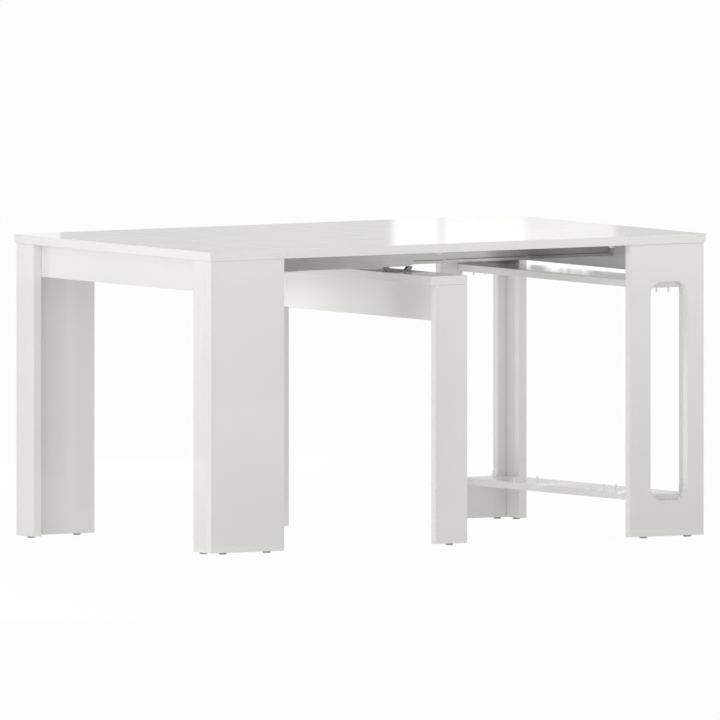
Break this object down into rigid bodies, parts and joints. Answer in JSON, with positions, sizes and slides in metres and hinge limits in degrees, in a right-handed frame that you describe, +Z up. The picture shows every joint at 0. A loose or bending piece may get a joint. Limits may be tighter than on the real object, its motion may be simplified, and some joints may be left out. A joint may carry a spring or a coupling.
{
  "type": "extending dining table",
  "caption": "White gloss extending dining table: end frames and a middle leg frame on telescopic slides, lift-off leaves, and a leaf rack behind slotted leg panels.",
  "frame": {"origin": "centre of the open table's footprint, on the floor", "axes": "+X along the table towards the end with the leaf rack, +Y from the front edge to the back edge, +Z up"},
  "size_m": [1.45, 0.9, 0.748],
  "materials": {
    "white_gloss_board": "white high-gloss faced board",
    "slide_aluminium": "satin extrusion",
    "bracket_black_steel": "black coated steel",
    "glide_dark_plastic": "dark moulded glide",
    "catch_white_nylon": "white moulded nylon"
  },
  "bodies": {
    "left_frame": {"left_top": "white_gloss_board", "left_apron": "white_gloss_board", "left_front_leg_panel": "white_gloss_board", "left_front_leg_return": "white_gloss_board", "left_front_foot_outer": "glide_dark_plastic", "left_front_foot_inner": "glide_dark_plastic", "left_front_foot_return": "glide_dark_plastic", "left_back_leg_panel": "white_gloss_board", "left_back_leg_return": "white_gloss_board", "left_back_foot_outer": "glide_dark_plastic", "left_back_foot_inner": "glide_dark_plastic", "left_back_foot_return": "glide_dark_plastic", "front_slide_1": "slide_aluminium", "back_slide_1": "slide_aluminium", "front_catch_left": "catch_white_nylon", "back_catch_left": "catch_white_nylon"},
    "slide_stage_2": {"front_slide_2": "slide_aluminium", "back_slide_2": "slide_aluminium"},
    "mid_frame": {"mid_board": "white_gloss_board", "mid_apron": "white_gloss_board", "mid_front_leg": "white_gloss_board", "mid_back_leg": "white_gloss_board", "mid_front_foot": "glide_dark_plastic", "mid_back_foot": "glide_dark_plastic", "front_slide_3": "slide_aluminium", "back_slide_3": "slide_aluminium", "front_slide_bracket": "bracket_black_steel", "back_slide_bracket": "bracket_black_steel"},
    "slide_stage_4": {"front_slide_4": "slide_aluminium", "back_slide_4": "slide_aluminium"},
    "right_frame": {"right_top": "white_gloss_board", "right_apron": "white_gloss_board", "rack_upper_rail": "white_gloss_board", "rack_stretcher": "white_gloss_board", "right_front_leg_panel": "white_gloss_board", "right_front_leg_return": "white_gloss_board", "right_front_foot_outer": "glide_dark_plastic", "right_front_foot_inner": "glide_dark_plastic", "right_front_foot_return": "glide_dark_plastic", "right_back_leg_panel": "white_gloss_board", "right_back_leg_return": "white_gloss_board", "right_back_foot_outer": "glide_dark_plastic", "right_back_foot_inner": "glide_dark_plastic", "right_back_foot_return": "glide_dark_plastic", "front_slide_5": "slide_aluminium", "back_slide_5": "slide_aluminium", "front_catch_right": "catch_white_nylon", "back_catch_right": "catch_white_nylon"},
    "leaf_left_lift": {"leaf_left": "white_gloss_board", "front_catch_mid": "catch_white_nylon", "back_catch_mid": "catch_white_nylon"},
    "leaf_right_lift": {"leaf_right": "white_gloss_board"}
  },
  "joints": [
    {"name": "extension", "type": "slide", "parent": "left_frame", "child": "right_frame", "axis": [1, 0, 0], "range_m": [-1, 0]},
    {"name": "slide_stage_2_run", "type": "slide", "parent": "left_frame", "child": "slide_stage_2", "axis": [1, 0, 0], "range_m": [-0.25, 0]},
    {"name": "mid_frame_run", "type": "slide", "parent": "left_frame", "child": "mid_frame", "axis": [1, 0, 0], "range_m": [-0.5, 0]},
    {"name": "slide_stage_4_run", "type": "slide", "parent": "left_frame", "child": "slide_stage_4", "axis": [1, 0, 0], "range_m": [-0.75, 0]},
    {"name": "leaf_left_lift_off", "type": "slide", "parent": "mid_frame", "child": "leaf_left_lift", "axis": [0, 0, 1], "range_m": [0, 0.5]},
    {"name": "leaf_right_lift_off", "type": "slide", "parent": "mid_frame", "child": "leaf_right_lift", "axis": [0, 0, 1], "range_m": [0, 0.5]}
  ],
  "couplings": [
    {"joint": "slide_stage_2_run", "follows": "extension", "ratio": 0.25},
    {"joint": "mid_frame_run", "follows": "extension", "ratio": 0.5},
    {"joint": "slide_stage_4_run", "follows": "extension", "ratio": 0.75},
    {"joint": "leaf_left_lift_off", "follows": "extension", "ratio": -0.5},
    {"joint": "leaf_right_lift_off", "follows": "extension", "ratio": -0.5}
  ]
}
